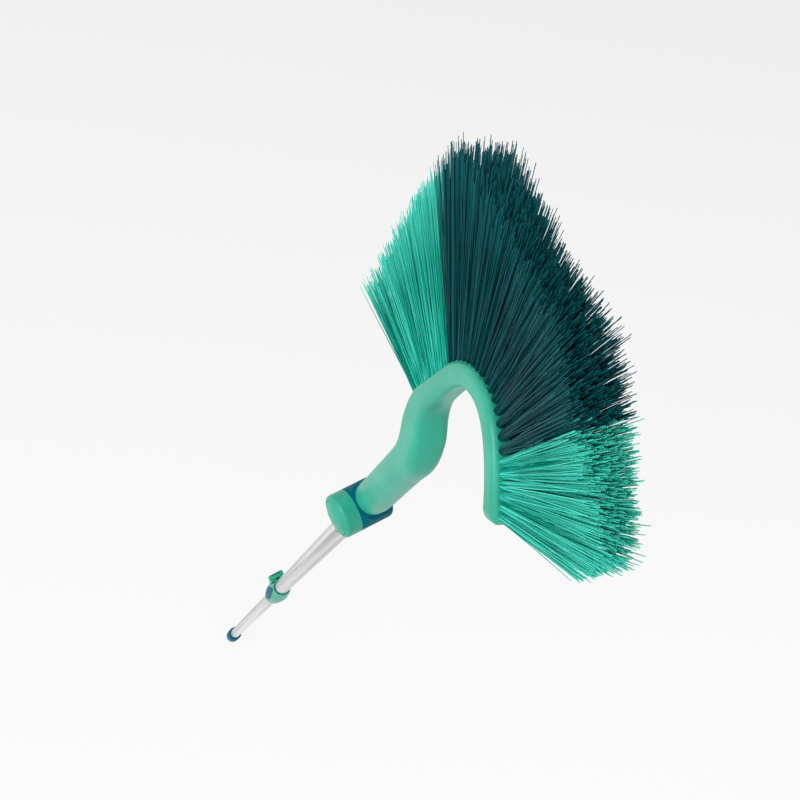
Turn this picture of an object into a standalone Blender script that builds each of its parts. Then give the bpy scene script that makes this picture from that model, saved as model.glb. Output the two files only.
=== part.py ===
# Ceiling brush: an arched head with bristles in two colours, on a tilting joint and a telescopic pole.
# Metres, +Z up along the pole. The origin is the middle of the end cap's flat underside.
# The arch lies in the XZ plane with its neck side on -X. The tilt joint's release button faces -Y.

import math
import random

import bmesh
import bpy
from mathutils import Matrix, Vector

# Clearances, shared by all pieces
seat_gap = 0.0003
running_gap = 0.0004
overrun = 0.002

# Facets round a turned piece
tube_steps = 32
barrel_steps = 40
drum_steps = 48
small_steps = 16
hex_steps = 6

# Pole, whose lower tube slides inside the upper one
joint_height = 1.206
upper_tube_radius = 0.010
upper_tube_wall = 0.0007
upper_tube_setback = 0.035
slide_clearance = 0.0004
lower_tube_wall = 0.0008
lower_tube_top = 0.800

# End cap
cap_wall = 0.0035
cap_height = 0.052
cap_floor = 0.004
cap_round = 0.003
cap_lip_round = 0.0012

# Stop in the top of the lower tube
stop_flange = 0.003
stop_plug_height = 0.012
stop_overhang = 0.0001

# Clamp collar on the upper tube's lower end, fullest at its belly and drawn in at its mouth and foot
collar_top = 0.7035
collar_height = 0.083
collar_radius = 0.0155
collar_mouth_radius = 0.012
collar_foot_radius = 0.0125
collar_belly_drop = 0.040
collar_edge = 0.0006
collar_lip = 0.0012
collar_lip_gap = 0.0009
collar_foot_lip = 0.003
collar_row_shares = (0.01, 0.16, 0.34, 0.52, 0.68, 0.82, 0.92, 1.0)
guide_ring_height = 0.0034

# Collar inlay, a pointed shell let into the collar's side
inlay_lean = math.radians(-106)
inlay_half_angle = math.radians(32)
inlay_tip_share = 0.15
inlay_margin = 0.004
inlay_depth = 0.0016
inlay_rows = 10
inlay_columns = 8

# Clamp lever and its ears
pin_radius = 0.0012
pin_reach = 0.0167
pin_drop = 0.0115
ear_radius = 0.0024
ear_thickness = 0.0062
ear_drop = 0.010
ear_root = 0.0118
stem_half_width = 0.0027
bar_half_width = 0.0105
bar_outer_reach = 0.0212
bar_inner_reach = 0.0139
bar_drop = 0.0085
bar_round = 0.0022
bar_edge = 0.0006
slot_half_length = 0.0065
slot_width = 0.0019
slot_margin = 0.0009
slot_depth = 0.003
nose_reach = 0.003
nose_half_height = 0.0012

# Brake shoe between the lever's nose and the lower tube
shoe_half_width = 0.004
shoe_half_height = 0.0030
window_half_width = 0.0043
window_rise = 0.0040
window_fall = 0.0034

# Tilt joint, a barrel that lies across the pole, turned from the arch's plane
barrel_turn = math.radians(22)
barrel_radius = 0.0197
barrel_half_length = 0.016
barrel_near_edge = 0.0005
barrel_far_round = 0.004
cheek_length = 0.0150
cheek_round = 0.0034
cheek_web = 0.0037
cheek_web_inset = 0.0057
saddle_radius = 0.0185
saddle_rise = 0.0018
head_lip = 0.0027

# Splined lock ring in the cheek, with its round flange behind the head's lip
spline_count = 12
spline_tip_radius = 0.0126
spline_root_radius = 0.0112
spline_tip_share = 0.26
spline_root_share = 0.44
flange_radius = 0.015
flange_thickness = 0.004
lock_bore_gap = 0.0005

# Release button
button_travel = 0.003
button_wall = 0.002
button_crown = 0.003
leg_circle = 0.009
leg_radius = 0.002
leg_count = 3

# Pivot bolt, nut and far cap
bolt_radius = 0.003
bolt_head_radius = 0.0052
bolt_head_height = 0.003
nut_radius = 0.0046
nut_height = 0.0022
hub_radius = 0.009
hub_end = 0.001
far_cap_thickness = 0.0047
far_cap_edge = 0.001
far_cap_ledge = 0.0012

# Lock spring, drawn at the length it has with the button pressed
spring_radius = 0.0065
spring_wire = 0.0004
spring_turns = 3.5
spring_points_a_turn = 12

# Socket for the upper tube under the barrel
socket_radius = 0.0135
socket_top = 0.024
socket_bottom = 0.075
socket_edge = 0.0012
cradle_half_width = 0.0095
cradle_near = 0.027
cradle_far = 0.012
cradle_bottom = 0.032
cradle_back_step = 0.0006
base_pin_radius = 0.0015
base_pin_drop = 0.055

# Spigot on the barrel and the catch in the neck's window
spigot_radius = 0.0115
spigot_length = 0.045
spigot_edge = 0.001
catch_azimuth = math.radians(14)
catch_height = 0.029
catch_half_width = 0.005
catch_half_height = 0.004
catch_window_gap = 0.0005
catch_flange_half_width = 0.0064
catch_flange_half_height = 0.0052
catch_flange_front = 0.0093
catch_flange_thickness = 0.0022
catch_face = 0.0141
catch_travel = 0.0024
leaf_thickness = 0.0004
leaf_crown = 0.0004
leaf_half_length = 0.0048
leaf_half_width = 0.0028

# Brush back, measured along its centreline from the joint: neck, S-bend, leg, three arcs of crown, free leg
neck_radius = 0.015
neck_run = 0.148
first_bend_radius = 0.028
first_bend_turn = math.radians(-29)
slant_run = 0.033
second_bend_radius = 0.035
second_bend_turn = math.radians(34)
leg_run = 0.051
rise_radius = 0.062
rise_turn = math.radians(53)
crown_radius = 0.036
crown_turn = math.radians(41)
fall_radius = 0.088
fall_turn = math.radians(19)
free_run = 0.023
back_width = 0.024
back_edge = 0.0055
flattening_run = 0.010
bend_thickness = 0.033
shoulder_thickness = 0.021
shoulder_run = 0.020
leg_thickness = 0.0138
rise_thickness = 0.012
crown_thickness = 0.018
fall_thickness = 0.017
back_end_round = 0.005
back_corner_points = 5
back_step_angle = math.radians(9)

# Bristles, in columns along the outer side and rows across it
bristle_length = 0.108
bristle_rows = 5
bristle_start_setback = 0.014
bristle_end_margin = 0.004
slice_width = 0.018
slice_depth = 0.003
strand_root = 0.00055
strand_tip = 0.00028
strand_splay = math.radians(4)
strand_unevenness_share = 0.05
mint_neck_columns = 21
dark_rise_columns = 16
dark_top_columns = 15
mint_tip_columns = 14
# share of the bristled length, lean from +Z towards +X in degrees
strand_lean_shares = ((0.0, -120), (0.35, -64), (0.58, -18), (0.76, 3), (1.0, 26))
strand_length_shares = (
    (0.0, 1.06), (0.12, 1.0), (0.3, 1.0), (0.38, 1.13), (0.47, 1.05), (0.58, 0.91), (0.75, 0.93), (1.0, 0.96))

# Looks: linear colour, roughness, metallic
mint_plastic = ((0.188, 0.565, 0.434), 0.42, 0.0)
petrol_plastic = ((0.004, 0.107, 0.162), 0.4, 0.0)
mint_fibre = ((0.014, 0.429, 0.283), 0.5, 0.0)
dark_fibre = ((0.004, 0.070, 0.091), 0.5, 0.0)
satin_aluminium = ((0.80, 0.80, 0.81), 0.34, 1.0)
plain_steel = ((0.55, 0.56, 0.57), 0.3, 1.0)
brake_rubber = ((0.03, 0.03, 0.032), 0.8, 0.0)

# Sizes that follow from the ones above
upper_tube_bore = upper_tube_radius - upper_tube_wall
lower_tube_radius = upper_tube_bore - slide_clearance
lower_tube_bore = lower_tube_radius - lower_tube_wall
collar_bore = upper_tube_radius + seat_gap
guide_ring_bottom = collar_top - collar_height + collar_foot_lip + seat_gap
upper_tube_bottom = guide_ring_bottom + guide_ring_height + seat_gap
upper_tube_top = joint_height - upper_tube_setback
near_face = -barrel_half_length
cheek_face = near_face - seat_gap
cheek_end = cheek_face - cheek_length
web_face = cheek_face - cheek_web_inset - seat_gap
web_back = web_face - cheek_web
lip_back = near_face + head_lip
flange_front = lip_back + seat_gap
flange_back = flange_front + flange_thickness
chamber_radius = flange_radius + seat_gap
far_cap_radius = chamber_radius + far_cap_ledge
far_cap_face = barrel_half_length - far_cap_thickness
button_radius = barrel_radius - cheek_round - seat_gap
lip_bore = spline_tip_radius + running_gap
cradle_top = saddle_radius + running_gap
neck_bore = spigot_radius + seat_gap
saddle_bore = neck_radius + seat_gap
catch_pocket_floor = catch_flange_front - catch_flange_thickness - catch_travel - leaf_thickness
catch_pocket_floor -= leaf_crown + seat_gap * 3
bristle_columns = mint_neck_columns + dark_rise_columns + dark_top_columns + mint_tip_columns


def arc(centre, radius, start, end, count):
    # count + 1 points on an arc, its angles in degrees from the first axis
    points = []
    for step in range(count + 1):
        angle = math.radians(start + (end - start) * step / count)
        points.append((centre[0] + radius * math.cos(angle), centre[1] + radius * math.sin(angle)))
    return points


def between(table, place):
    # value at a place in a table of (place, value), eased between its rows
    for (start, low), (end, high) in zip(table, table[1:]):
        if place <= end:
            share = max(0.0, (place - start) / (end - start))
            return low + (high - low) * share * share * (3 - 2 * share)
    return table[-1][1]


def straight_between(table, place):
    # value at a place in a table of (place, value), straight between its rows
    for (start, low), (end, high) in zip(table, table[1:]):
        if place <= end:
            return low + (high - low) * max(0.0, (place - start) / (end - start))
    return table[-1][1]


def circle(radius, height, steps):
    angles = [math.tau * step / steps for step in range(steps)]
    return [Vector((radius * math.cos(angle), radius * math.sin(angle), height)) for angle in angles]


def skin(rings, closed):
    # a body through rings of equally many points; a closed one runs back to its first ring
    shape = bmesh.new()
    loops = [[shape.verts.new(point) for point in ring] for ring in rings]
    followers = loops[1:] + loops[:1] if closed else loops[1:]
    for near, far in zip(loops, followers):
        for place, corner in enumerate(near):
            after = (place + 1) % len(near)
            shape.faces.new((corner, near[after], far[after], far[place]))
    if not closed:
        shape.faces.new(loops[0])
        shape.faces.new(loops[-1])
    bmesh.ops.recalc_face_normals(shape, faces=shape.faces)
    return shape


def turned(profile, steps):
    # a closed profile of (radius, height) turned about Z; a point of radius zero is a pole
    shape = bmesh.new()
    loops = []
    for radius, height in profile:
        if radius == 0:
            loops.append([shape.verts.new((0, 0, height))] * steps)
        else:
            loops.append([shape.verts.new(point) for point in circle(radius, height, steps)])
    for near, far in zip(loops, loops[1:] + loops[:1]):
        for place in range(steps):
            after = (place + 1) % steps
            corners = list(dict.fromkeys((near[place], near[after], far[after], far[place])))
            if len(corners) > 2:
                shape.faces.new(corners)
    bmesh.ops.recalc_face_normals(shape, faces=shape.faces)
    return shape


def rod(radius, start, end, steps):
    return skin([circle(radius, start, steps), circle(radius, end, steps)], closed=False)


def plate(outline, start, end):
    # an outline in X and Z, pulled along Y
    rings = [[Vector((x, depth, z)) for x, z in outline] for depth in (start, end)]
    return skin(rings, closed=False)


def block(low, high):
    rings = []
    for height in (low[2], high[2]):
        rings.append([Vector((x, y, height)) for x, y in (
            (low[0], low[1]), (high[0], low[1]), (high[0], high[1]), (low[0], high[1]))])
    return skin(rings, closed=False)


def along_y(shape):
    # lays a shape that was made along Z along Y
    bmesh.ops.transform(shape, matrix=Matrix.Rotation(-math.pi / 2, 4, "X"), verts=shape.verts)
    return shape


def moved(shape, offset):
    bmesh.ops.translate(shape, vec=Vector(offset), verts=shape.verts)
    return shape


def rounded_outline(half_u, half_v, radius, corner_points):
    # corners stay clear of the tangent points, so that a full circle has even facets
    points = []
    for quarter, (side_u, side_v) in enumerate(((1, 1), (-1, 1), (-1, -1), (1, -1))):
        for step in range(corner_points):
            angle = math.radians(90) * (quarter + (step + 0.5) / corner_points)
            u = side_u * (half_u - radius) + radius * math.cos(angle)
            v = side_v * (half_v - radius) + radius * math.sin(angle)
            points.append((u, v))
    return points


def mark(name, parent=None, place=(0, 0, 0), turn=0.0):
    # an empty that carries pieces or a joint's axis
    item = bpy.data.objects.new(name, None)
    bpy.context.collection.objects.link(item)
    item.parent = parent
    item.location = place
    item.rotation_euler.z = turn
    return item


def mesh_object(name, shape, parent):
    mesh = bpy.data.meshes.new(name)
    shape.to_mesh(mesh)
    shape.free()
    mesh.shade_smooth()
    mesh.set_sharp_from_angle(angle=math.radians(32))
    item = bpy.data.objects.new(name, mesh)
    bpy.context.collection.objects.link(item)
    item.parent = parent
    return item


def piece(name, shape, parent, look):
    colour, roughness, metallic = look
    item = mesh_object(name, shape, parent)
    surface = bpy.data.materials.new(name + "_finish")
    surface.use_nodes = True
    shader = surface.node_tree.nodes["Principled BSDF"]
    shader.inputs["Base Color"].default_value = (*colour, 1.0)
    shader.inputs["Roughness"].default_value = roughness
    shader.inputs["Metallic"].default_value = metallic
    item.data.materials.append(surface)
    return item


def boolean(item, shape, parent, operation):
    tool = mesh_object(f"{item.name}_{operation.lower()}_{len(item.modifiers)}", shape, parent)
    tool.hide_render = True
    tool.display_type = "WIRE"
    step = item.modifiers.new(tool.name, "BOOLEAN")
    step.operation = operation
    step.solver = "EXACT"
    step.object = tool
    return tool


def cut(item, shape, parent):
    return boolean(item, shape, parent, "DIFFERENCE")


def join(item, shape, parent):
    return boolean(item, shape, parent, "UNION")


def make_pole(ground, sliding, clamp):
    make_end_cap(ground)
    lower = [(lower_tube_bore, cap_floor + seat_gap), (lower_tube_radius, cap_floor + seat_gap),
             (lower_tube_radius, lower_tube_top), (lower_tube_bore, lower_tube_top)]
    piece("lower_tube", turned(lower, tube_steps), ground, satin_aluminium)
    make_stop(ground)
    upper = [(upper_tube_bore, upper_tube_bottom), (upper_tube_radius, upper_tube_bottom),
             (upper_tube_radius, upper_tube_top), (upper_tube_bore, upper_tube_top)]
    tube = piece("upper_tube", turned(upper, tube_steps), sliding, satin_aluminium)
    cut(tube, shoe_window(), clamp)
    return tube


def make_stop(ground):
    # plug with a flange that guides the lower tube's top inside the upper tube
    base = lower_tube_top + seat_gap
    flange_radius = lower_tube_radius + stop_overhang
    plug_radius = lower_tube_bore - seat_gap
    profile = [(0, base - stop_plug_height), (plug_radius, base - stop_plug_height), (plug_radius, base),
               (flange_radius, base), (flange_radius, base + stop_flange), (0, base + stop_flange)]
    piece("tube_stop", turned(profile, tube_steps), ground, petrol_plastic)


def make_end_cap(ground):
    bore = lower_tube_radius + seat_gap
    radius = bore + cap_wall
    profile = [(0, 0)] + arc((radius - cap_round, cap_round), cap_round, -90, 0, 3)
    profile += arc((radius - cap_lip_round, cap_height - cap_lip_round), cap_lip_round, 0, 90, 2)
    profile += [(bore, cap_height), (bore, cap_floor), (0, cap_floor)]
    piece("end_cap", turned(profile, tube_steps), ground, petrol_plastic)


def shoe_window():
    low = (-collar_radius, -window_half_width, -window_fall)
    high = (-upper_tube_bore + overrun, window_half_width, window_rise)
    return moved(block(low, high), (0, 0, -pin_drop))


def collar_surface(height):
    # outer radius of the collar at a height below its top, from 0 down to -collar_height
    if height > -collar_belly_drop:
        end_radius, share = collar_mouth_radius, -height / collar_belly_drop
    else:
        end_radius, share = collar_foot_radius, (height + collar_height) / (collar_height - collar_belly_drop)
    return end_radius + (collar_radius - end_radius) * math.sin(math.radians(90) * share)


def inlay_shell(grow):
    # a pointed shell on the collar's side, grown all round by the given gap for its recess
    length = collar_height - 2 * inlay_margin
    rings = []
    for row in range(inlay_rows + 1):
        share = row / inlay_rows
        height = -inlay_margin + grow - share * (length + 2 * grow)
        width = inlay_tip_share + (1 - inlay_tip_share) * math.sin(math.pi * share)
        half = inlay_half_angle * width + grow / collar_radius
        outer = collar_surface(height) + (overrun if grow else -seat_gap / 3)
        inner = collar_surface(height) - inlay_depth - grow
        ring = []
        for radius, direction in ((outer, 1), (inner, -1)):
            for column in range(inlay_columns + 1):
                angle = inlay_lean + direction * half * (2 * column / inlay_columns - 1)
                ring.append(Vector((radius * math.cos(angle), radius * math.sin(angle), height)))
        rings.append(ring)
    return skin(rings, closed=False)


def make_collar(clamp):
    foot_bore = lower_tube_radius + running_gap
    foot_top = -collar_height + collar_foot_lip
    lip_radius = upper_tube_radius + collar_lip_gap
    profile = [(foot_bore, -collar_height), (collar_foot_radius - collar_edge, -collar_height)]
    for share in collar_row_shares:
        height = collar_height * (share - 1)
        profile.append((collar_surface(height), height))
    profile += [(lip_radius, 0), (lip_radius, -collar_lip), (collar_bore, -collar_lip),
                (collar_bore, foot_top), (foot_bore, foot_top)]
    collar = piece("clamp_collar", turned(profile, tube_steps), clamp, mint_plastic)
    for side in (-1, 1):
        join(collar, ear(side), clamp)
    cut(collar, shoe_window(), clamp)
    cut(collar, inlay_shell(seat_gap), clamp)
    cut(collar, pin(pin_radius + seat_gap, -ear_thickness / 3), clamp)
    piece("collar_inlay", inlay_shell(0), clamp, petrol_plastic)
    low = guide_ring_bottom - collar_top
    ring = [(foot_bore, low), (upper_tube_radius, low), (upper_tube_radius, low + guide_ring_height),
            (foot_bore, low + guide_ring_height)]
    piece("guide_ring", turned(ring, tube_steps), clamp, petrol_plastic)
    piece("lever_pin", pin(pin_radius, -seat_gap - ear_thickness / 3), clamp, plain_steel)


def ear(side):
    # one of the two ears that hold the lever's pin, which run down into the collar's wall
    reach = bar_inner_reach - seat_gap
    outline = [(-reach, -collar_edge), (-reach, -pin_drop + ear_radius)]
    outline += [(x - pin_reach, z - pin_drop) for x, z in arc((0, 0), ear_radius, 90, 215, 6)]
    outline += [(-ear_root - ear_radius / 2, -pin_drop - ear_drop), (-ear_root, -pin_drop - ear_drop),
                (-ear_root, -collar_edge)]
    inner = stem_half_width + seat_gap
    faces = sorted((side * inner, side * (inner + ear_thickness)))
    return plate(outline, *faces)


def pin(radius, extra):
    half = stem_half_width + seat_gap + ear_thickness + extra
    return moved(along_y(rod(radius, -half, half, small_steps)), (-pin_reach, 0, -pin_drop))


def make_lever(hinge):
    # in the hinge's own frame, whose origin is on the pin
    top = pin_drop
    outer = pin_reach - bar_outer_reach
    inner = pin_reach - bar_inner_reach
    middle = (outer + inner) / 2
    half = (inner - outer) / 2
    rings = []
    for height, inset in ((top - bar_drop, bar_edge), (top - bar_drop + bar_edge, 0),
                          (top - bar_edge, 0), (top, bar_edge)):
        outline = rounded_outline(half - inset, bar_half_width - inset, bar_round - inset, 4)
        rings.append([Vector((middle + x, y, height)) for x, y in outline])
    lever = piece("clamp_lever", skin(rings, closed=False), hinge, mint_plastic)
    root = inner - bar_edge
    stem = [(nose_reach, -nose_half_height), (nose_reach, nose_half_height), (root, ear_radius)]
    stem += [(root, top - bar_edge)]
    stem += [(middle, top - bar_edge), (outer + bar_round, top - bar_drop + overrun)]
    stem += arc((0, 0), ear_radius, 180, 290, 6)
    join(lever, plate(stem, -stem_half_width, stem_half_width), hinge)
    low = (outer + slot_margin, -slot_half_length, top - slot_depth)
    high = (outer + slot_margin + slot_width, slot_half_length, top + overrun)
    cut(lever, block(low, high), hinge)
    hole = pin_radius + seat_gap
    reach = stem_half_width + overrun
    cut(lever, along_y(rod(hole, -reach, reach, small_steps)), hinge)


def make_shoe(clamp):
    nose_tip = pin_reach - nose_reach
    low = (-nose_tip + seat_gap, -shoe_half_width, -pin_drop - shoe_half_height)
    high = (-lower_tube_radius + overrun, shoe_half_width, -pin_drop + shoe_half_height)
    shoe = piece("clamp_shoe", block(low, high), clamp, brake_rubber)
    bore = lower_tube_radius + seat_gap
    cut(shoe, rod(bore, low[2] - overrun, high[2] + overrun, tube_steps), clamp)


def spline_ring(root, tip, depth, widen=0.0):
    # one ring of the toothed outline, at a depth along the joint's axis; a plain circle where root equals tip
    tooth = math.tau / spline_count
    ring = []
    for number in range(spline_count):
        middle = number * tooth
        flat = tooth * spline_tip_share / 2 + widen
        foot = tooth * spline_root_share / 2 + widen
        for angle, radius in ((-foot, root), (-flat, tip), (flat, tip), (foot, root), (tooth / 2, root)):
            place = middle + angle
            ring.append(Vector((radius * math.cos(place), radius * math.sin(place), depth)))
    return ring


def make_joint_base(joint):
    bore = button_radius + seat_gap
    hole = bolt_radius + seat_gap
    rim = arc((barrel_radius - cheek_round, cheek_end + cheek_round), cheek_round, 0, -80, 3)
    profile = [(barrel_radius, cheek_face)] + rim
    profile += [(bore, cheek_end), (bore, web_back), (hole, web_back), (hole, web_face)]
    rings = [spline_ring(radius, radius, depth) for radius, depth in profile]
    widen = running_gap / spline_root_radius
    for depth in (web_face, cheek_face):
        root, tip = spline_root_radius + running_gap, spline_tip_radius + running_gap
        rings.append(spline_ring(root, tip, depth, widen))
    base = piece("joint_base", along_y(skin(rings, closed=True)), joint, mint_plastic)
    for leg in range(leg_count):
        cut(base, leg_rod(leg, leg_radius + running_gap, web_back - overrun, web_face + overrun), joint)
    # the socket is worked out as a body of its own, and joined last
    end_radius = socket_radius - socket_edge
    profile = [(0, -socket_bottom), (end_radius, -socket_bottom),
               (socket_radius, -socket_bottom + socket_edge), (socket_radius, -socket_top - socket_edge),
               (end_radius, -socket_top), (0, -socket_top)]
    socket = join(base, turned(profile, tube_steps), joint)
    low = (-cradle_half_width, -cradle_near, -cradle_bottom)
    high = (cradle_half_width, cradle_far, -cradle_top)
    join(socket, block(low, high), joint)
    reach = cradle_near + overrun
    near = cheek_face - cradle_back_step
    cut(socket, along_y(rod(barrel_radius + running_gap, near, reach, barrel_steps)), joint)
    bore = upper_tube_radius + seat_gap
    bore_top = -upper_tube_setback + seat_gap
    cut(socket, rod(bore, -socket_bottom - overrun, bore_top, tube_steps), joint)
    cut(base, base_pin(base_pin_radius + seat_gap, overrun), joint)


def base_pin(radius, extra):
    half = socket_radius + extra
    return moved(along_y(rod(radius, -half, half, small_steps)), (0, 0, -base_pin_drop))


def leg_rod(number, radius, start, end):
    angle = math.radians(90) + math.tau * number / leg_count
    shape = along_y(rod(radius, start, end, small_steps))
    return moved(shape, (leg_circle * math.cos(angle), 0, leg_circle * math.sin(angle)))


def make_button(press):
    # domed shell whose legs reach through the cheek's web to the lock ring
    rim = web_back - button_travel - running_gap
    crown = cheek_end - button_crown
    side = cheek_end + button_wall / 2
    drop = side - crown
    outer = [(button_radius * math.sin(turn), crown + drop * (1 - math.cos(turn)))
             for turn in [math.radians(90) * step / 5 for step in range(6)]]
    inner_radius = button_radius - button_wall
    inner = [(radius * inner_radius / button_radius, depth + button_wall) for radius, depth in outer[::2]]
    profile = outer + [(button_radius, rim), (inner_radius, rim)] + inner[::-1]
    button = piece("release_button", along_y(turned(profile, barrel_steps)), press, mint_plastic)
    for leg in range(leg_count):
        join(button, leg_rod(leg, leg_radius, crown + button_wall, web_face), press)

    bore = bolt_radius + lock_bore_gap
    front = web_face + seat_gap
    rings = [spline_ring(spline_root_radius, spline_tip_radius, depth) for depth in (front, cheek_face)]
    for radius, depth in ((spline_tip_radius, cheek_face), (spline_tip_radius, flange_front),
                          (flange_radius, flange_front), (flange_radius, flange_back),
                          (bore, flange_back), (bore, front)):
        rings.append(spline_ring(radius, radius, depth))
    piece("lock_gear", along_y(skin(rings, closed=True)), press, petrol_plastic)


def make_pivot(joint, head):
    seat = barrel_half_length - bolt_head_height - far_cap_edge
    tip = web_back - nut_height - 2 * seat_gap
    profile = [(0, tip), (bolt_radius, tip), (bolt_radius, seat), (bolt_head_radius, seat),
               (bolt_head_radius, seat + bolt_head_height), (0, seat + bolt_head_height)]
    piece("pivot_bolt", along_y(turned(profile, small_steps)), joint, plain_steel)
    top = web_back - seat_gap
    rings = [circle(radius, depth, hex_steps) for radius, depth in (
        (nut_radius, top), (nut_radius, top - nut_height), (bolt_radius + nut_radius / 5, top - nut_height),
        (bolt_radius + nut_radius / 5, top))]
    piece("pivot_nut", along_y(skin(rings, closed=True)), joint, plain_steel)

    hole = bolt_radius + running_gap
    sink = bolt_head_radius + running_gap
    edge = far_cap_radius - seat_gap
    profile = [(hole, hub_end), (hub_radius, hub_end), (hub_radius, far_cap_face + seat_gap)]
    profile += [(edge, far_cap_face + seat_gap), (edge, barrel_half_length - far_cap_edge),
                (edge - far_cap_edge, barrel_half_length), (sink, barrel_half_length),
                (sink, seat - seat_gap), (hole, seat - seat_gap)]
    piece("joint_cap", along_y(turned(profile, barrel_steps)), head, petrol_plastic)


def make_lock_spring(head):
    # a round wire wound into one unbroken coil, from the cap's hub towards the lock ring
    room = hub_end - flange_back - button_travel
    length = room - 2 * seat_gap - 2 * spring_wire
    count = int(spring_turns * spring_points_a_turn)
    wire = bpy.data.curves.new("lock_spring", "CURVE")
    wire.dimensions = "3D"
    wire.bevel_depth = spring_wire
    wire.bevel_resolution = 1
    wire.use_fill_caps = True
    line = wire.splines.new("POLY")
    line.points.add(count)
    for place in range(count + 1):
        share = place / count
        angle = math.tau * spring_turns * share
        depth = hub_end - seat_gap - spring_wire - length * share
        line.points[place].co = (spring_radius * math.cos(angle), depth, spring_radius * math.sin(angle), 1)
    item = bpy.data.objects.new("lock_spring", wire)
    bpy.context.collection.objects.link(item)
    item.parent = head
    surface = bpy.data.materials.new("lock_spring_finish")
    surface.use_nodes = True
    wire.materials.append(surface)
    gap = length / spring_turns - 2 * spring_wire
    print(f"lock_spring: least gap between turns {gap * 1000:.2f} mm")


def make_joint_head(head, catch):
    far = barrel_half_length
    profile = [(lip_bore, near_face), (barrel_radius - barrel_near_edge, near_face),
               (barrel_radius, near_face + barrel_near_edge)]
    profile += arc((barrel_radius - barrel_far_round, far - barrel_far_round), barrel_far_round, 0, 60, 3)
    profile += [(far_cap_radius, far), (far_cap_radius, far_cap_face), (chamber_radius, far_cap_face),
                (chamber_radius, lip_back), (lip_bore, lip_back)]
    barrel = piece("joint_head", along_y(turned(profile, barrel_steps)), head, petrol_plastic)
    # saddle round the neck's foot and the spigot in it, both hollowed to end inside the barrel's wall
    column = rod(saddle_radius, 0, barrel_radius + saddle_rise * 2, barrel_steps)
    saddle = join(barrel, column, head)
    reach = barrel_half_length - barrel_near_edge
    drum = along_y(rod(barrel_radius + saddle_rise, -reach, reach, drum_steps))
    boolean(saddle, drum, head, "INTERSECT")
    cut(saddle, rod(saddle_bore, -overrun, barrel_radius + saddle_rise * 3, barrel_steps), head)
    top = barrel_radius + spigot_length
    spigot = [(0, 0), (spigot_radius, 0), (spigot_radius, top - spigot_edge),
              (spigot_radius - spigot_edge, top), (0, top)]
    join(saddle, turned(spigot, tube_steps), head)
    wall_middle = (barrel_radius + chamber_radius) / 2
    reach = saddle_radius + overrun
    cut(saddle, along_y(rod(wall_middle, -reach, reach, drum_steps)), head)
    pocket_width = catch_flange_half_width + seat_gap
    pocket_height = catch_flange_half_height + seat_gap
    low = (catch_pocket_floor, -pocket_width, catch_height - pocket_height)
    high = (spigot_radius + overrun, pocket_width, catch_height + pocket_height)
    cut(barrel, block(low, high), catch)


def make_catch(catch):
    width, height = catch_half_width, catch_half_height
    face = block((catch_flange_front - overrun / 2, -width, catch_height - height),
                 (catch_face, width, catch_height + height))
    button = piece("click_button", face, catch, petrol_plastic)
    width, height = catch_flange_half_width, catch_flange_half_height
    flange = block((catch_flange_front - catch_flange_thickness, -width, catch_height - height),
                   (catch_flange_front, width, catch_height + height))
    join(button, flange, catch)


def make_leaf(catch):
    # a thin leaf on the pocket's floor, crowned in the middle
    floor = catch_pocket_floor + seat_gap
    outline = []
    for side in (0, 1):
        points = []
        for step in range(7):
            share = step / 6
            height = catch_height + leaf_half_length * (2 * share - 1)
            depth = floor + side * leaf_thickness + leaf_crown * math.sin(math.pi * share)
            points.append((depth, height))
        outline += points if side else points[::-1]
    piece("click_spring", plate(outline, -leaf_half_width, leaf_half_width), catch, plain_steel)


def back_runs():
    # each run of the centreline as (length, turn)
    return (
        (neck_run, 0), (first_bend_radius * abs(first_bend_turn), first_bend_turn), (slant_run, 0),
        (second_bend_radius * second_bend_turn, second_bend_turn), (leg_run, 0),
        (rise_radius * rise_turn, rise_turn), (crown_radius * crown_turn, crown_turn),
        (fall_radius * fall_turn, fall_turn), (free_run, 0))


def station(distance):
    # place in X and Z and heading from +Z towards +X, at a distance along the centreline
    x = z = heading = 0
    for length, turn in back_runs():
        part = min(distance, length)
        after = heading + turn * part / length
        if turn:
            x += length / turn * (math.cos(heading) - math.cos(after))
            z += length / turn * (math.sin(after) - math.sin(heading))
        else:
            x += part * math.sin(heading)
            z += part * math.cos(heading)
        heading = after
        distance -= part
        if distance <= 0:
            break
    return x, z, heading


def run_end(count):
    return sum(length for length, turn in back_runs()[:count])


def back_section(distance):
    # half thickness, half width and edge radius of the back at a distance along the centreline
    thickness = between((
        (run_end(1), 2 * neck_radius), (run_end(2), bend_thickness), (run_end(4), shoulder_thickness),
        (run_end(4) + shoulder_run, leg_thickness), (run_end(5), rise_thickness),
        (run_end(7), crown_thickness), (run_end(8), fall_thickness)), distance)
    share = between(((run_end(1) - flattening_run, 0), (run_end(3), 1)), distance)
    width = 2 * neck_radius + (back_width - 2 * neck_radius) * share
    edge = neck_radius + (back_edge - neck_radius) * share
    return thickness / 2, width / 2, edge


def back_frame(distance):
    # centre, outward direction and heading direction at a distance along the centreline
    x, z, heading = station(distance)
    outward = Vector((-math.cos(heading), 0, math.sin(heading)))
    forward = Vector((math.sin(heading), 0, math.cos(heading)))
    return Vector((x, 0, z)), outward, forward


def back_distances():
    # where the back has a ring: close on bends and tapers, wide apart on straight runs
    straight_steps = {0: 1, 2: 4, 4: 4, 8: 1}
    places = [seat_gap]
    for run, (length, turn) in enumerate(back_runs()):
        start = run_end(run)
        count = round(abs(turn) / back_step_angle) if turn else straight_steps[run]
        for step in range(count):
            if run or step:
                places.append(start + length * step / count)
    return places + [run_end(9) - back_end_round]


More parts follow.
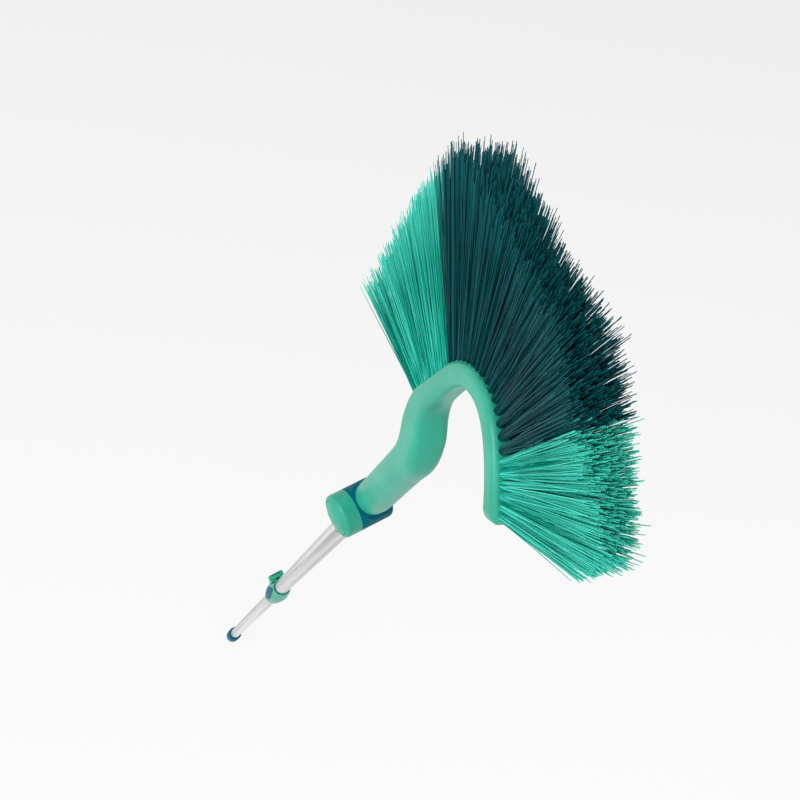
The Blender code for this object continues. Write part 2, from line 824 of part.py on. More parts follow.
def make_back(head, catch, barrel_frame):
    rings = []
    for distance in back_distances():
        rings.append(back_ring(distance, 0))
    for angle in (25, 45, 62, 76):
        lean = math.radians(angle)
        distance = run_end(9) - back_end_round * (1 - math.sin(lean))
        rings.append(back_ring(distance, back_end_round * (1 - math.cos(lean))))
    back = piece("brush_back", skin(rings, closed=False), head, mint_plastic)
    saddle = rod(barrel_radius + seat_gap, -socket_top, socket_top, drum_steps)
    cut(back, along_y(saddle), barrel_frame)
    cut(back, rod(neck_bore, 0, barrel_radius + spigot_length + overrun, tube_steps), barrel_frame)
    width = catch_half_width + catch_window_gap
    height = catch_half_height + catch_window_gap
    low = (neck_bore - overrun, -width, catch_height - height)
    high = (neck_radius + overrun, width, catch_height + height)
    cut(back, block(low, high), catch)
    cut(back, groove(), head)


def back_ring(distance, inset):
    centre, outward, forward = back_frame(distance)
    half_thickness, half_width, edge = back_section(distance)
    edge = max(edge - inset, seat_gap)
    outline = rounded_outline(half_thickness - inset, half_width - inset, edge, back_corner_points)
    return [centre + outward * u + Vector((0, v, 0)) for u, v in outline]


def bristle_span():
    return run_end(4) - bristle_start_setback, run_end(9) - bristle_end_margin


def outer_places(count):
    # centreline distances whose points on the outer surface lie evenly apart
    start, end = bristle_span()
    samples = [start + (end - start) * step / (count * 4) for step in range(count * 4 + 1)]
    surface = [back_frame(place)[0] + back_frame(place)[1] * back_section(place)[0] for place in samples]
    lengths = [0.0]
    for near, far in zip(surface, surface[1:]):
        lengths.append(lengths[-1] + (far - near).length)
    table = list(zip(lengths, samples))
    return [straight_between(table, lengths[-1] * step / count) for step in range(count + 1)]


def strip_ring(distance, depth, half_width, rise, shift=0.0):
    # a slice across the backing: under the outer surface by depth, above it by rise
    centre, outward, forward = back_frame(distance)
    half_thickness = back_section(distance)[0]
    ring = []
    for height, side in ((-depth, -1), (-depth, 1), (rise, 1), (rise, -1)):
        ring.append(centre + forward * shift + outward * (half_thickness + height)
                    + Vector((0, side * half_width, 0)))
    return ring


def groove():
    # channel in the outer surface that takes all the backing slices
    places = outer_places(bristle_columns // 2)
    half = slice_width / 2 + seat_gap
    depth = slice_depth + seat_gap
    rings = [strip_ring(places[0], depth, half, overrun, -seat_gap)]
    rings += [strip_ring(place, depth, half, overrun) for place in places[1:-1]]
    rings.append(strip_ring(places[-1], depth, half, overrun, seat_gap))
    return skin(rings, closed=False)


def make_bristles(name, first, count, head, look):
    # strands of four sides, fused to their slice of the backing
    places = outer_places(bristle_columns)[first:first + count + 1]
    uneven = random.Random(first + count)
    shape = bmesh.new()
    tops = []
    floors = []
    for number, place in enumerate(places):
        centre, outward, forward = back_frame(place)
        shift = seat_gap / 2 * ((number == 0) - (number == count))
        surface = centre + outward * back_section(place)[0] + forward * shift
        row = [Vector((0, slice_width * (step / bristle_rows - 0.5), 0)) for step in range(bristle_rows + 1)]
        tops.append([shape.verts.new(surface + side) for side in row])
        floors.append([shape.verts.new(surface - outward * slice_depth + side) for side in (row[0], row[-1])])
    for column in range(count):
        near, far = tops[column], tops[column + 1]
        low, high = floors[column], floors[column + 1]
        shape.faces.new((low[0], low[1], high[1], high[0]))
        shape.faces.new((near[0], low[0], high[0], far[0]))
        shape.faces.new((near[-1], far[-1], high[1], low[1]))
        for row in range(bristle_rows):
            cell = (near[row], far[row], far[row + 1], near[row + 1])
            add_strand(shape, cell, first + column, row, uneven)
    for top, floor in ((tops[0], floors[0]), (tops[-1], floors[-1])):
        shape.faces.new(top + [floor[1], floor[0]])
    bmesh.ops.recalc_face_normals(shape, faces=shape.faces)
    piece(name, shape, head, look)


def add_strand(shape, cell, column, row, uneven):
    # one strand rising from the middle of its cell on the backing
    share = (column + 0.5) / bristle_columns
    lean = math.radians(straight_between(strand_lean_shares, share))
    splay = strand_splay * ((row + 0.5) / bristle_rows - 0.5) * 2
    length = bristle_length * straight_between(strand_length_shares, share)
    length *= 1 + strand_unevenness_share * (uneven.random() - 0.5)
    middle = sum((corner.co for corner in cell), Vector()) / len(cell)
    forward = (cell[1].co - cell[0].co).normalized()
    side = Vector((0, 1, 0))
    direction = Vector((math.sin(lean) * math.cos(splay), math.sin(splay), math.cos(lean) * math.cos(splay)))
    level = side.cross(direction).normalized()
    root = []
    tip = []
    for along, across in ((-1, -1), (1, -1), (1, 1), (-1, 1)):
        root.append(shape.verts.new(middle + forward * along * strand_root + side * across * strand_root))
        tip.append(shape.verts.new(
            middle + direction * length + level * along * strand_tip + side * across * strand_tip))
    for place in range(4):
        after = (place + 1) % 4
        shape.faces.new((cell[place], cell[after], root[after], root[place]))
        shape.faces.new((root[place], root[after], tip[after], tip[place]))
    shape.faces.new(tip)


def build():
    for item in list(bpy.data.objects):
        bpy.data.objects.remove(item, do_unlink=True)
    ground = mark("pole_frame")
    sliding = mark("slide_axis", ground)
    clamp = mark("clamp_frame", sliding, (0, 0, collar_top), barrel_turn)
    hinge = mark("lever_axis", clamp, (-pin_reach, 0, -pin_drop))
    joint = mark("joint_frame", sliding, (0, 0, joint_height), barrel_turn)
    press = mark("button_axis", joint)
    tilt = mark("tilt_axis", joint)
    head = mark("head_frame", tilt, turn=-barrel_turn)
    catch = mark("catch_axis", tilt, turn=catch_azimuth)

    tube = make_pole(ground, sliding, clamp)
    cut(tube, base_pin(base_pin_radius + seat_gap, overrun), joint)
    make_collar(clamp)
    make_lever(hinge)
    make_shoe(clamp)
    make_joint_base(joint)
    piece("base_pin", base_pin(base_pin_radius, -seat_gap), joint, plain_steel)
    make_button(press)
    make_pivot(joint, tilt)
    make_lock_spring(tilt)
    make_joint_head(tilt, catch)
    make_catch(catch)
    make_leaf(catch)
    make_back(head, catch, tilt)
    first = 0
    for name, count, look in (
            ("mint_bristles_neck", mint_neck_columns, mint_fibre),
            ("dark_bristles_rise", dark_rise_columns, dark_fibre),
            ("dark_bristles_top", dark_top_columns, dark_fibre),
            ("mint_bristles_tip", mint_tip_columns, mint_fibre)):
        make_bristles(name, first, count, head, look)
        first += count


build()
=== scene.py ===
import math
import random

import bmesh
import bpy
from mathutils import Matrix, Vector


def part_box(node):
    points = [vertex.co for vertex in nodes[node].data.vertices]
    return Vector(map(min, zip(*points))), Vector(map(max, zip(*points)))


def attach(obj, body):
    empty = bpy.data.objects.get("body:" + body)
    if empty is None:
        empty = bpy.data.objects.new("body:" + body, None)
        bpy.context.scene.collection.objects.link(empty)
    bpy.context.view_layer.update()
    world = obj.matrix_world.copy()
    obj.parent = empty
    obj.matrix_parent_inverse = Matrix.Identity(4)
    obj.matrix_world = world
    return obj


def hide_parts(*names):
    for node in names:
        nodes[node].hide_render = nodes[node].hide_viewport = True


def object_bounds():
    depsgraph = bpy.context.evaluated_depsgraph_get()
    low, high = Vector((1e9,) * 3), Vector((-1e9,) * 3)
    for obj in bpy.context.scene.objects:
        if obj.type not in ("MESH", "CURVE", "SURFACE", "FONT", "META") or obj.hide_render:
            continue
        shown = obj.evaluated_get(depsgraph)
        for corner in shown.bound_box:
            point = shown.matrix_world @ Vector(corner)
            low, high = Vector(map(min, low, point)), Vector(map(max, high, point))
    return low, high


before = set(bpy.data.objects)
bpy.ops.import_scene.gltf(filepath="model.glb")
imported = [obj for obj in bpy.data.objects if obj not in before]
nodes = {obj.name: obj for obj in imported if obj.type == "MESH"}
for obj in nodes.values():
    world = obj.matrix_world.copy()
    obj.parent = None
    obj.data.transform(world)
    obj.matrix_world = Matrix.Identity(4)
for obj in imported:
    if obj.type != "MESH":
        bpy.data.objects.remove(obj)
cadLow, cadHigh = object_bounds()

scene = bpy.context.scene
mm = 0.001


# Nodes and colours

def toLinear(hexColour):
    # an sRGB hex colour as linear red, green, blue and alpha
    parts = [int(hexColour[place:place + 2], 16) / 255 for place in (1, 3, 5)]
    return [part / 12.92 if part <= 0.04045 else ((part + 0.055) / 1.055) ** 2.4 for part in parts] + [1.0]


def addNode(tree, kind, settings=None, links=None):
    # one node with its settings, which are properties or sockets, and what feeds it
    node = tree.nodes.new(kind)
    for key, value in (settings or {}).items():
        if isinstance(key, int) or key in node.inputs:
            node.inputs[key].default_value = value
        else:
            setattr(node, key, value)
    for key, source in (links or {}).items():
        tree.links.new(source, node.inputs[key])
    return node


def newMaterial(name):
    material = bpy.data.materials.new(name)
    material.use_nodes = True
    material.node_tree.nodes.clear()
    return material, material.node_tree


def colourStops(node, stops):
    # fills a colour ramp from pairs of place and hex colour
    ramp = node.color_ramp
    while len(ramp.elements) < len(stops):
        ramp.elements.new(0.5)
    for element, (place, colour) in zip(ramp.elements, stops):
        element.position = place
        element.color = toLinear(colour)
    return node


# Materials. Each "stops" is a colour ramp over the material's pattern.

plasticLook = {
    "ior": 1.49,
    "cloudSize": 26 * mm,
    "peelSize": 3.2 * mm,
    "peelHeight": 0.05 * mm,
    "peelStrength": 0.35,
    "speckSize": 0.9 * mm,
    "smoother": 0.05,  # how far the specks move the roughness, down and up
    "rougher": 0.06,
}
mintLook = {
    "stops": ((0.30, "#23a386"), (0.52, "#2aab8f"), (0.75, "#38b599")),
    "roughness": 0.36,
    "shine": 0.42,
}
petrolLook = {
    "stops": ((0.30, "#005c70"), (0.52, "#00677c"), (0.75, "#00738c")),
    "roughness": 0.36,
    "shine": 0.03,
}


def mouldedPolypropylene(name, look):
    # Moulded polypropylene: even colour that pools slightly in thick places, soft gloss and a faint
    # orange peel from the mould. The grain is drawn coarser than the real one, so that it shows.
    material, tree = newMaterial(name)
    place = addNode(tree, "ShaderNodeTexCoord").outputs["Object"]
    cloud = addNode(tree, "ShaderNodeTexNoise", {
        "Scale": 1 / plasticLook["cloudSize"], "Detail": 3.0, "Roughness": 0.55}, {"Vector": place})
    tint = colourStops(addNode(tree, "ShaderNodeValToRGB", None, {"Fac": cloud.outputs["Fac"]}),
                       look["stops"])
    speck = addNode(tree, "ShaderNodeTexNoise", {
        "Scale": 1 / plasticLook["speckSize"], "Detail": 2.0}, {"Vector": place})
    gloss = addNode(tree, "ShaderNodeMapRange", {
        "From Min": 0.3, "From Max": 0.7, "To Min": look["roughness"] - plasticLook["smoother"],
        "To Max": look["roughness"] + plasticLook["rougher"]}, {"Value": speck.outputs["Fac"]})
    peel = addNode(tree, "ShaderNodeTexNoise", {
        "Scale": 1 / plasticLook["peelSize"], "Detail": 2.5, "Roughness": 0.5}, {"Vector": place})
    bump = addNode(tree, "ShaderNodeBump", {
        "Strength": plasticLook["peelStrength"], "Distance": plasticLook["peelHeight"]},
        {"Height": peel.outputs["Fac"]})
    shader = addNode(tree, "ShaderNodeBsdfPrincipled", {
        "IOR": plasticLook["ior"], "Specular IOR Level": look["shine"]}, {
        "Base Color": tint.outputs["Color"], "Roughness": gloss.outputs["Result"],
        "Normal": bump.outputs["Normal"]})
    addNode(tree, "ShaderNodeOutputMaterial", None, {"Surface": shader.outputs["BSDF"]})
    return material


tubeLook = {
    # painted reflection: the broad stripes run between the darker and the lighter greys
    "stops": ((0.34, "#a6a7a9"), (0.48, "#c2c3c5"), (0.62, "#ececed")),
    "reflectionBandWidth": 5.5 * mm,
    "reflectionBandLength": 720 * mm,
    "reflectionBandShare": 0.72,
    "drawLineWidth": 0.9 * mm,
    "drawLineLength": 90 * mm,
    "drawLineHeight": 0.02 * mm,
    "drawLineStrength": 0.4,
    "scuffSize": 7 * mm,
    "roughness": (0.26, 0.40),
}


def satinAluminium(name):
    # Drawn and satin anodised aluminium: pale grey, with broad soft stripes of painted reflection, fine lines
    # along the tube from the die, and faint cloudy scuffs where the sections slide. The lines are drawn
    # coarser than the real ones, so that they show.
    material, tree = newMaterial(name)
    place = addNode(tree, "ShaderNodeTexCoord").outputs["Object"]
    across, along = 1 / tubeLook["drawLineWidth"], 1 / tubeLook["drawLineLength"]
    narrow = addNode(tree, "ShaderNodeMapping", {"Scale": (across, across, along)}, {"Vector": place})
    lines = addNode(tree, "ShaderNodeTexNoise", {"Scale": 1.0, "Detail": 3.0, "Roughness": 0.6},
                    {"Vector": narrow.outputs["Vector"]})
    # painted reflection: broad soft stripes along the tube, mixed with the die's fine lines
    across, along = 1 / tubeLook["reflectionBandWidth"], 1 / tubeLook["reflectionBandLength"]
    broad = addNode(tree, "ShaderNodeMapping", {"Scale": (across, across, along)}, {"Vector": place})
    reflectionBands = addNode(tree, "ShaderNodeTexNoise", {"Scale": 1.0, "Detail": 1.0},
                    {"Vector": broad.outputs["Vector"]})
    linesAndReflections = addNode(tree, "ShaderNodeMix", {"Factor": tubeLook["reflectionBandShare"]}, {
        2: lines.outputs["Fac"], 3: reflectionBands.outputs["Fac"]})
    tint = colourStops(addNode(tree, "ShaderNodeValToRGB", None, {"Fac": linesAndReflections.outputs[0]}),
                       tubeLook["stops"])
    scuff = addNode(tree, "ShaderNodeTexNoise", {"Scale": 1 / tubeLook["scuffSize"], "Detail": 4.0},
                    {"Vector": place})
    worn = addNode(tree, "ShaderNodeMath", {"operation": "MULTIPLY"},
                   {0: lines.outputs["Fac"], 1: scuff.outputs["Fac"]})
    smooth, rough = tubeLook["roughness"]
    gloss = addNode(tree, "ShaderNodeMapRange", {
        "From Min": 0.12, "From Max": 0.42, "To Min": smooth, "To Max": rough}, {"Value": worn.outputs[0]})
    bump = addNode(tree, "ShaderNodeBump", {
        "Strength": tubeLook["drawLineStrength"], "Distance": tubeLook["drawLineHeight"]},
        {"Height": lines.outputs["Fac"]})
    shader = addNode(tree, "ShaderNodeBsdfPrincipled", {"Metallic": 1.0}, {
        "Base Color": tint.outputs["Color"], "Roughness": gloss.outputs["Result"],
        "Normal": bump.outputs["Normal"]})
    addNode(tree, "ShaderNodeOutputMaterial", None, {"Surface": shader.outputs["BSDF"]})
    return material


fibreLook = {
    "ior": 1.53,
    "shine": 0.06,
    "roughness": (0.32, 0.46),
    # painted highlight at the strands' tips: where along a strand it starts, and how far it mixes in the tip
    # colour
    "tipLightFrom": 0.60,
    "tipLightShare": 0.85,
}
# in these, the "tip" colour is the painted highlight at the strands' tips
mintFibre = {
    "stops": ((0.0, "#008a77"), (0.45, "#06ab97"), (0.85, "#52e3d0")),
    "tip": "#52e3d0",
}
petrolFibre = {
    "stops": ((0.0, "#00282c"), (0.45, "#01454b"), (0.85, "#15656c")),
    "tip": "#15656c",
}


def extrudedFilament(name, look):
    # Extruded PET filament: each strand its own tone from the batch, with a waxy gloss, and a painted
    # highlight that turns it lighter towards its cut tip, lifting the tips out of the shade between the
    # strands. The strand's tone, with its sector's painted lift, and the share of its length come with the
    # mesh.
    material, tree = newMaterial(name)
    shade = addNode(tree, "ShaderNodeAttribute", {"attribute_name": "strandToneAndLift"})
    tipward = addNode(tree, "ShaderNodeAttribute", {"attribute_name": "tipShare"})
    tint = colourStops(addNode(tree, "ShaderNodeValToRGB", None, {"Fac": shade.outputs["Fac"]}),
                       look["stops"])
    # painted highlight: lighter towards the tip, out of the shade between the strands
    pale = addNode(tree, "ShaderNodeMapRange", {
        "From Min": fibreLook["tipLightFrom"], "From Max": 1.0, "To Min": 0.0, "To Max": fibreLook["tipLightShare"]},
        {"Value": tipward.outputs["Fac"]})
    mixed = addNode(tree, "ShaderNodeMix", {"data_type": "RGBA", 7: toLinear(look["tip"])}, {
        "Factor": pale.outputs["Result"], 6: tint.outputs["Color"]})
    smooth, rough = fibreLook["roughness"]
    gloss = addNode(tree, "ShaderNodeMapRange", {"To Min": smooth, "To Max": rough},
                    {"Value": shade.outputs["Fac"]})
    shader = addNode(tree, "ShaderNodeBsdfPrincipled", {
        "IOR": fibreLook["ior"], "Specular IOR Level": fibreLook["shine"]}, {
        "Base Color": mixed.outputs[2], "Roughness": gloss.outputs["Result"]})
    addNode(tree, "ShaderNodeOutputMaterial", None, {"Surface": shader.outputs["BSDF"]})
    return material


steelLook = {
    "stops": ((0.3, "#9a9da0"), (0.7, "#bdc0c2")),
    "grainSize": 0.7 * mm,
    "roughness": (0.2, 0.38),
}


def turnedSteel(name):
    # Zinc plated steel, turned or drawn: cool grey with a faint grain
    material, tree = newMaterial(name)
    place = addNode(tree, "ShaderNodeTexCoord").outputs["Object"]
    grain = addNode(tree, "ShaderNodeTexNoise", {"Scale": 1 / steelLook["grainSize"], "Detail": 3.0},
                    {"Vector": place})
    tint = colourStops(addNode(tree, "ShaderNodeValToRGB", None, {"Fac": grain.outputs["Fac"]}),
                       steelLook["stops"])
    smooth, rough = steelLook["roughness"]
    gloss = addNode(tree, "ShaderNodeMapRange", {"To Min": smooth, "To Max": rough},
                    {"Value": grain.outputs["Fac"]})
    shader = addNode(tree, "ShaderNodeBsdfPrincipled", {"Metallic": 1.0}, {
        "Base Color": tint.outputs["Color"], "Roughness": gloss.outputs["Result"]})
    addNode(tree, "ShaderNodeOutputMaterial", None, {"Surface": shader.outputs["BSDF"]})
    return material


rubberLook = {
    "stops": ((0.35, "#26282a"), (0.75, "#3a3d3f")),
    "ior": 1.52,
    "bloomSize": 2 * mm,
    "roughness": (0.65, 0.85),
}


def nitrileRubber(name):
    # Moulded nitrile rubber: nearly black and matt, with a talc bloom
    material, tree = newMaterial(name)
    place = addNode(tree, "ShaderNodeTexCoord").outputs["Object"]
    bloom = addNode(tree, "ShaderNodeTexNoise", {"Scale": 1 / rubberLook["bloomSize"], "Detail": 4.0},
                    {"Vector": place})
    tint = colourStops(addNode(tree, "ShaderNodeValToRGB", None, {"Fac": bloom.outputs["Fac"]}),
                       rubberLook["stops"])
    smooth, rough = rubberLook["roughness"]
    gloss = addNode(tree, "ShaderNodeMapRange", {"To Min": smooth, "To Max": rough},
                    {"Value": bloom.outputs["Fac"]})
    shader = addNode(tree, "ShaderNodeBsdfPrincipled", {"IOR": rubberLook["ior"]}, {
        "Base Color": tint.outputs["Color"], "Roughness": gloss.outputs["Result"]})
    addNode(tree, "ShaderNodeOutputMaterial", None, {"Surface": shader.outputs["BSDF"]})
    return material


finishes = {
    "mint_plastic": mouldedPolypropylene("mintMouldedPolypropylene", mintLook),
    "petrol_plastic": mouldedPolypropylene("petrolMouldedPolypropylene", petrolLook),
    "mint_bristles": extrudedFilament("mintExtrudedFilament", mintFibre),
    "dark_bristles": extrudedFilament("petrolExtrudedFilament", petrolFibre),
    "aluminium_tube": satinAluminium("satinAnodisedAluminium"),
    "steel": turnedSteel("zincPlatedSteel"),
    "brake_rubber": nitrileRubber("nitrileRubber"),
}
print("materials made")


# Mesh helpers

def newPiece(name, mesh, slotName, body, replaced=None):
    # a visible piece of the brush: its finish, the body it moves with and the plain node it stands for
    item = bpy.data.objects.new(name, mesh)
    scene.collection.objects.link(item)
    mesh.materials.clear()
    mesh.materials.append(finishes[slotName])
    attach(item, body)
    if replaced:
        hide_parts(replaced)
    return item


def smoothed(mesh, sharpAngle):
    mesh.shade_smooth()
    mesh.set_sharp_from_angle(angle=math.radians(sharpAngle))


def bevelled(item, width, segments=2, angle=34):
    step = item.modifiers.new("edgeRound", "BEVEL")
    step.width = width
    step.segments = segments
    step.limit_method = "ANGLE"
    step.angle_limit = math.radians(angle)
    step.harden_normals = True


def faceOutward(mesh):
    shape = bmesh.new()
    shape.from_mesh(mesh)
    bmesh.ops.recalc_face_normals(shape, faces=shape.faces)
    shape.to_mesh(mesh)
    shape.free()


def band(near, far, count):
    # faces between two rings of points, from the number of the first point of each
    faces = []
    for place in range(count):
        after = (place + 1) % count
        faces.append((near + place, near + after, far + after, far + place))
    return faces


def loft(name, rings, closed=False):
    # faces through rings of equally many points, with both ends filled unless it runs back on itself
    count = len(rings[0])
    faces = []
    for row in range(len(rings) if closed else len(rings) - 1):
        faces += band(row * count, (row + 1) % len(rings) * count, count)
    if not closed:
        faces.append(tuple(range(count))[::-1])
        faces.append(tuple(range((len(rings) - 1) * count, len(rings) * count)))
    mesh = bpy.data.meshes.new(name)
    mesh.from_pydata([tuple(point) for ring in rings for point in ring], [], faces)
    faceOutward(mesh)
    return mesh


def turnedRings(profile, steps):
    angles = [math.tau * step / steps for step in range(steps)]
    return [[Vector((radius * math.cos(angle), radius * math.sin(angle), height)) for angle in angles]
            for radius, height in profile]


refining = {
    "weldGap": 0.002 * mm,
    "flatAngle": 1,
    "sharpAngle": 32,
}


def refined(nodeName, newName, slotName, body, bevel=0, sharpAngle=refining["sharpAngle"]):
    # a copy of a plain node with its facets joined into smooth faces and its edges broken
    mesh = nodes[nodeName].data.copy()
    shape = bmesh.new()
    shape.from_mesh(mesh)
    bmesh.ops.remove_doubles(shape, verts=shape.verts, dist=refining["weldGap"])
    bmesh.ops.dissolve_limit(shape, angle_limit=math.radians(refining["flatAngle"]), verts=shape.verts,
                             edges=shape.edges)
    shape.to_mesh(mesh)
    shape.free()
    mesh.name = newName
    smoothed(mesh, sharpAngle)
    item = newPiece(newName, mesh, slotName, body, nodeName)
    if bevel:
        bevelled(item, bevel)


# Pole

pole = {
    "steps": 96,
    "upperWall": 0.7 * mm,
    "lowerWall": 0.8 * mm,
    "edgeRound": 0.2 * mm,
    "sharpAngle": 30,
}


def tubePiece(name, nodeName, wall, body):
    low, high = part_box(nodeName)
    radius = (high.x - low.x) / 2
    edge = pole["edgeRound"]
    bore = radius - wall
    profile = [(bore, low.z), (radius - edge, low.z), (radius, low.z + edge), (radius, high.z - edge),
               (radius - edge, high.z), (bore, high.z)]
    mesh = loft(name, turnedRings(profile, pole["steps"]), closed=True)
    smoothed(mesh, pole["sharpAngle"])
    newPiece(name, mesh, "aluminium_tube", body, nodeName)


tubePiece("upperTube", "upper_tube", pole["upperWall"], "upper_pole")
tubePiece("lowerTube", "lower_tube", pole["lowerWall"], "lower_pole")
refined("end_cap", "endCap", "petrol_plastic", "lower_pole")
print("pole made")


# Clamp on the pole

clamp = {
    "inlayEdge": 0.15 * mm,
}
refined("clamp_collar", "clampCollar", "mint_plastic", "upper_pole")
refined("collar_inlay", "collarInlay", "petrol_plastic", "upper_pole", clamp["inlayEdge"])
refined("clamp_lever", "clampLever", "mint_plastic", "lever")
print("clamp made")


# Tilt joint

tiltJoint = {
    "domeSharpAngle": 60,
    "catchEdge": 0.4 * mm,
}
refined("joint_base", "jointBase", "mint_plastic", "upper_pole")
refined("release_button", "releaseButton", "mint_plastic", "button", sharpAngle=tiltJoint["domeSharpAngle"])
refined("joint_head", "jointHead", "petrol_plastic", "head")
refined("joint_cap", "jointCap", "petrol_plastic", "head")
refined("click_button", "clickButton", "petrol_plastic", "catch", tiltJoint["catchEdge"])
print("joint made")


# Brush back

joint = Vector((0, 0, 1.206))

back = {
    # each run of the centreline from the joint: its length or, for a bend, its radius and its turn in degrees
    "runs": (("straight", 0.148), ("bend", 0.028, -29), ("straight", 0.033), ("bend", 0.035, 34),
             ("straight", 0.051), ("bend", 0.062, 53), ("bend", 0.036, 41), ("bend", 0.088, 19),
             ("straight", 0.023)),
    "blendRun": 11 * mm,
    "blendSteps": 6,
    "lineStep": 1 * mm,
    "neckRadius": 15 * mm,
    "width": 24.8 * mm,
    "sideShift": -0.8 * mm,
    "flatteningRun": 30 * mm,
    "flatBefore": 8 * mm,
    # distance along the centreline, then how far the outer and the inner surface lie from it
    "reaches": ((0.020, 0.0150, 0.0150), (0.032, 0.0144, 0.0170), (0.130, 0.0138, 0.0172),
                (0.162, 0.0132, 0.0192), (0.178, 0.0142, 0.0186), (0.192, 0.0122, 0.0155),
                (0.208, 0.0088, 0.0132), (0.226, 0.0066, 0.0118), (0.252, 0.0055, 0.0108),
                (0.280, 0.0044, 0.0112), (0.305, 0.0042, 0.0102), (0.346, 0.0040, 0.0110),
                (0.385, 0.0040, 0.0112), (0.402, 0.0040, 0.0126)),
    # distance along the centreline, then a radius, or what the far side adds to it or drops by
    "outerEdges": ((0.260, 0.0050), (0.300, 0.0065)),
    "innerEdges": ((0.150, 0.0040), (0.195, 0.0040), (0.235, 0.0060), (0.262, 0.0060), (0.300, 0.0040)),
    "farExtra": ((0.180, 0.0), (0.200, 0.0030), (0.262, 0.0030), (0.300, 0.0)),
    "farDrop": ((0.190, 0.0), (0.225, 0.0025), (0.262, 0.0030), (0.300, 0.0)),
    "leastEdge": 0.3 * mm,
    "cornerPoints": 10,
    "ringStep": 2.6 * mm,
    "neckRingStep": 7.8 * mm,
    "endRound": 9 * mm,
    "endLeans": (10, 20, 30, 40, 50, 60, 70, 80),
    "barrelRadius": 20 * mm,
    "barrelTurn": math.radians(22),
    "neckBore": 11.8 * mm,
    "boreEnd": 67 * mm,
    "window": (24.5 * mm, 33.5 * mm),
    "windowColumns": (13, 18),
    "sharpAngle": 50,
    "edgeRound": 0.35 * mm,
    "edgeSegments": 3,
    "edgeAngle": 62,
}


def backRuns():
    # pairs of length and turn
    runs = []
    for run in back["runs"]:
        if run[0] == "bend":
            turn = math.radians(run[2])
            runs.append((run[1] * abs(turn), turn))
        else:
            runs.append((run[1], 0.0))
    return runs


def runEnd(count):
    return sum(length for length, turn in backRuns()[:count])


neckEnd, swanEnd, archStart, lineEnd = runEnd(1), runEnd(3), runEnd(4), runEnd(len(back["runs"]))


def heading(distance):
    # angle of the centreline from upright, evened out over a short run so that the moulding has no kinks
    total = 0.0
    steps = back["blendSteps"]
    for part in range(-steps, steps + 1):
        place = distance + back["blendRun"] * part / steps
        for length, turn in backRuns():
            total += turn * min(max(place, 0.0), length) / length
            place -= length
    return total / (2 * steps + 1)


def followLine():
    points = [joint.copy()]
    for number in range(math.ceil(lineEnd / back["lineStep"])):
        angle = heading((number + 0.5) * back["lineStep"])
        points.append(points[-1] + Vector((math.sin(angle), 0, math.cos(angle))) * back["lineStep"])
    return points


linePoints = followLine()


def station(distance):
    # centre, outward and forward directions at a distance along the centreline
    number = min(int(distance / back["lineStep"]), len(linePoints) - 2)
    centre = linePoints[number].lerp(linePoints[number + 1], distance / back["lineStep"] - number)
    angle = heading(distance)
    outward = Vector((-math.cos(angle), 0, math.sin(angle)))
    return centre, outward, Vector((math.sin(angle), 0, math.cos(angle)))


def between(table, place, eased=True):
    # the value at a place between the rows of a table, eased in and out of each row or straight
    for (start, low), (end, high) in zip(table, table[1:]):
        if place <= end:
            share = max(0.0, (place - start) / (end - start))
            if eased:
                share = share * share * (3 - 2 * share)
            return low + (high - low) * share
    return table[-1][1]


def smoothTable(table, place, column):
    # a smooth curve through the rows of a table, so that the moulding has no kinks
    rows = [table[0]] + list(table) + [table[-1]]
    for number in range(1, len(rows) - 2):
        before, near, far, after = rows[number - 1:number + 3]
        if place <= far[0] or number == len(rows) - 3:
            span = far[0] - near[0]
            share = min(1.0, max(0.0, (place - near[0]) / span))
            leaving = (far[column] - before[column]) / max(far[0] - before[0], span) * span
            arriving = (after[column] - near[column]) / max(after[0] - near[0], span) * span
            square, cube = share * share, share ** 3
            return ((2 * cube - 3 * square + 1) * near[column] + (cube - 2 * square + share) * leaving
                    + (3 * square - 2 * cube) * far[column] + (cube - square) * arriving)


def outerReach(distance):
    return smoothTable(back["reaches"], distance, 1)


def backSection(distance):
    # the section's reaches outward, and inward on the near and the far side, its half width, the radii of
    # its outer, near inner and far inner edges, and how far it stands off the arch's plane. The neck is
    # round and turns into a flat bar with rounded edges.
    outer = outerReach(distance)
    inner = smoothTable(back["reaches"], distance, 2)
    farInner = inner - between(back["farDrop"], distance)
    share = between(((neckEnd - back["flatteningRun"], 0), (swanEnd - back["flatBefore"], 1)), distance)
    halfWidth = back["neckRadius"] * (1 - share) + back["width"] / 2 * share
    outerEdge = outer * (1 - share) + between(back["outerEdges"], distance) * share
    innerEdge = inner * (1 - share) + between(back["innerEdges"], distance) * share
    farEdge = innerEdge + between(back["farExtra"], distance)
    return outer, inner, farInner, halfWidth, outerEdge, innerEdge, farEdge, back["sideShift"] * share


def backRing(distance, inset=0.0, radius=None):
    # one ring across the back, or a round one of the given radius
    centre, outward, forward = station(distance)
    outer, inner, farInner, halfWidth, outerEdge, innerEdge, farEdge, shift = backSection(distance)
    if radius:
        outer = inner = farInner = halfWidth = outerEdge = innerEdge = farEdge = radius
    corners = ((1, 1, outer, outerEdge), (-1, 1, farInner, farEdge),
               (-1, -1, inner, innerEdge), (1, -1, outer, outerEdge))
    ring = []
    for quarter, (sideU, sideV, reach, edge) in enumerate(corners):
        edge = max(min(edge, reach, halfWidth) - inset, back["leastEdge"])
        for step in range(back["cornerPoints"]):
            angle = math.radians(90) * (quarter + (step + 0.5) / back["cornerPoints"])
            u = sideU * (reach - inset - edge) + edge * math.cos(angle)
            v = sideV * (halfWidth - inset - edge) + edge * math.sin(angle)
            ring.append(centre + outward * u + Vector((0, v + shift, 0)))
    return ring


def footRing(radius):
    # the neck's foot follows the barrel that it stands on
    ring = []
    for point in backRing(0.0, radius=radius):
        across = point.x * math.cos(back["barrelTurn"]) + point.y * math.sin(back["barrelTurn"])
        height = math.sqrt(back["barrelRadius"] ** 2 - across ** 2)
        ring.append(Vector((point.x, point.y, joint.z + height)))
    return ring


